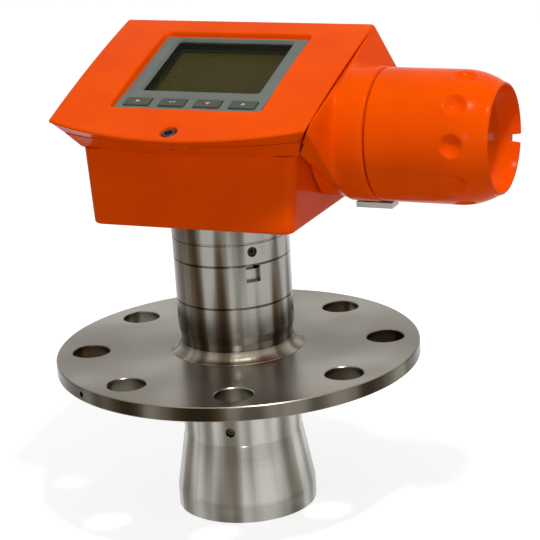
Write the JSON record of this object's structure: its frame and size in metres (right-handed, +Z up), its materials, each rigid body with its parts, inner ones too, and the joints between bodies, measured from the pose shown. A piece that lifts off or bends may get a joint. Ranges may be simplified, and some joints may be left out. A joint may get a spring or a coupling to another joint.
{
  "type": "radar level transmitter",
  "caption": "Tank-top radar level gauge: inclined display head with screw-on terminal cap, swivel neck, bolted process flange and conical horn antenna.",
  "frame": {"origin": "centre of the process flange's underside, on the neck and horn axis", "axes": "+Z up along the neck axis, away from the tank; display front towards -Y; terminal cap towards +X"},
  "size_m": [0.2376, 0.185, 0.2423],
  "materials": {
    "orange_paint": "glossy orange enamel on cast aluminium",
    "steel_flange": "turned stainless face, satin",
    "steel_turned": "turned stainless steel",
    "steel_weld": "brushed weld fillet",
    "ptfe": "natural white fluoropolymer",
    "screw_dark": "dark hardened steel",
    "black_rubber": "matt",
    "module_metal": "milled shield can",
    "circuit_board": "green solder mask",
    "terminal_plastic": "moulded",
    "plated_screw": "nickel plated",
    "brass_screw": "plain",
    "grey_plastic": "fine texture",
    "key_plastic": "satin",
    "lcd": "unlit reflective display",
    "window": "clear toughened glass"
  },
  "bodies": {
    "process": {"flange_plate": "steel_flange", "flange_spigot": "steel_turned", "horn_antenna": "steel_turned", "horn_flare": "steel_turned", "process_seal": "ptfe", "weld_bead": "steel_weld", "neck_tube": "steel_turned", "horn_set_screw": "screw_dark"},
    "nut": {"union_nut": "steel_turned"},
    "head": {"head_housing": "orange_paint", "terminal_collar": "orange_paint", "head_ring": "steel_turned", "head_ring_screw": "screw_dark", "cover_gasket": "black_rubber", "hinge_pins": "steel_turned", "microwave_module": "module_metal", "main_board": "circuit_board", "terminal_block": "terminal_plastic", "terminal_screws": "plated_screw", "blanking_plug": "steel_turned", "earth_screw": "brass_screw", "cap_lock_screw": "screw_dark"},
    "cover": {"head_cover": "orange_paint", "display_bezel": "grey_plastic", "window_glass": "window", "lcd_module": "lcd", "display_board": "circuit_board", "cover_screw": "screw_dark"},
    "key_a": {"key_1": "key_plastic"},
    "key_b": {"key_2": "key_plastic"},
    "key_c": {"key_3": "key_plastic"},
    "key_d": {"key_4": "key_plastic"},
    "cap_seal": {"cap_o_ring": "black_rubber"},
    "cap": {"terminal_cap": "orange_paint"},
    "lock": {"cap_lock_bar": "steel_turned"}
  },
  "joints": [
    {"name": "nut_turn", "type": "hinge", "parent": "process", "child": "nut", "pos_m": [0, 0, 0.045], "axis": [0, 0, 1], "range_deg": [0, 90]},
    {"name": "head_swivel", "type": "hinge", "parent": "process", "child": "head", "pos_m": [0, 0, 0.057], "axis": [0, 0, 1], "range_deg": [-175, 175]},
    {"name": "cover_hinge", "type": "hinge", "parent": "head", "child": "cover", "pos_m": [0, 0.04343, 0.15894], "axis": [-1, 0, 0], "range_deg": [0, 95]},
    {"name": "key_1_press", "type": "slide", "parent": "cover", "child": "key_a", "axis": [0, 0.319, -0.9478], "range_m": [0, 0.0008], "stiffness_N_per_m": 600},
    {"name": "key_2_press", "type": "slide", "parent": "cover", "child": "key_b", "axis": [0, 0.319, -0.9478], "range_m": [0, 0.0008], "stiffness_N_per_m": 600},
    {"name": "key_3_press", "type": "slide", "parent": "cover", "child": "key_c", "axis": [0, 0.319, -0.9478], "range_m": [0, 0.0008], "stiffness_N_per_m": 600},
    {"name": "key_4_press", "type": "slide", "parent": "cover", "child": "key_d", "axis": [0, 0.319, -0.9478], "range_m": [0, 0.0008], "stiffness_N_per_m": 600},
    {"name": "cap_travel", "type": "slide", "parent": "head", "child": "cap_seal", "axis": [1, 0, 0], "range_m": [0, 0.009]},
    {"name": "cap_turn", "type": "hinge", "parent": "cap_seal", "child": "cap", "pos_m": [0.1, 0, 0.1205], "axis": [1, 0, 0], "range_deg": [0, 1620]},
    {"name": "lock_turn", "type": "hinge", "parent": "head", "child": "lock", "pos_m": [0.0755, 0, 0.086], "axis": [0, 0, 1], "range_deg": [0, 90]}
  ],
  "couplings": [
    {"joint": "cap_travel", "follows": "cap_turn", "m_per_rad": 0.0003183}
  ]
}
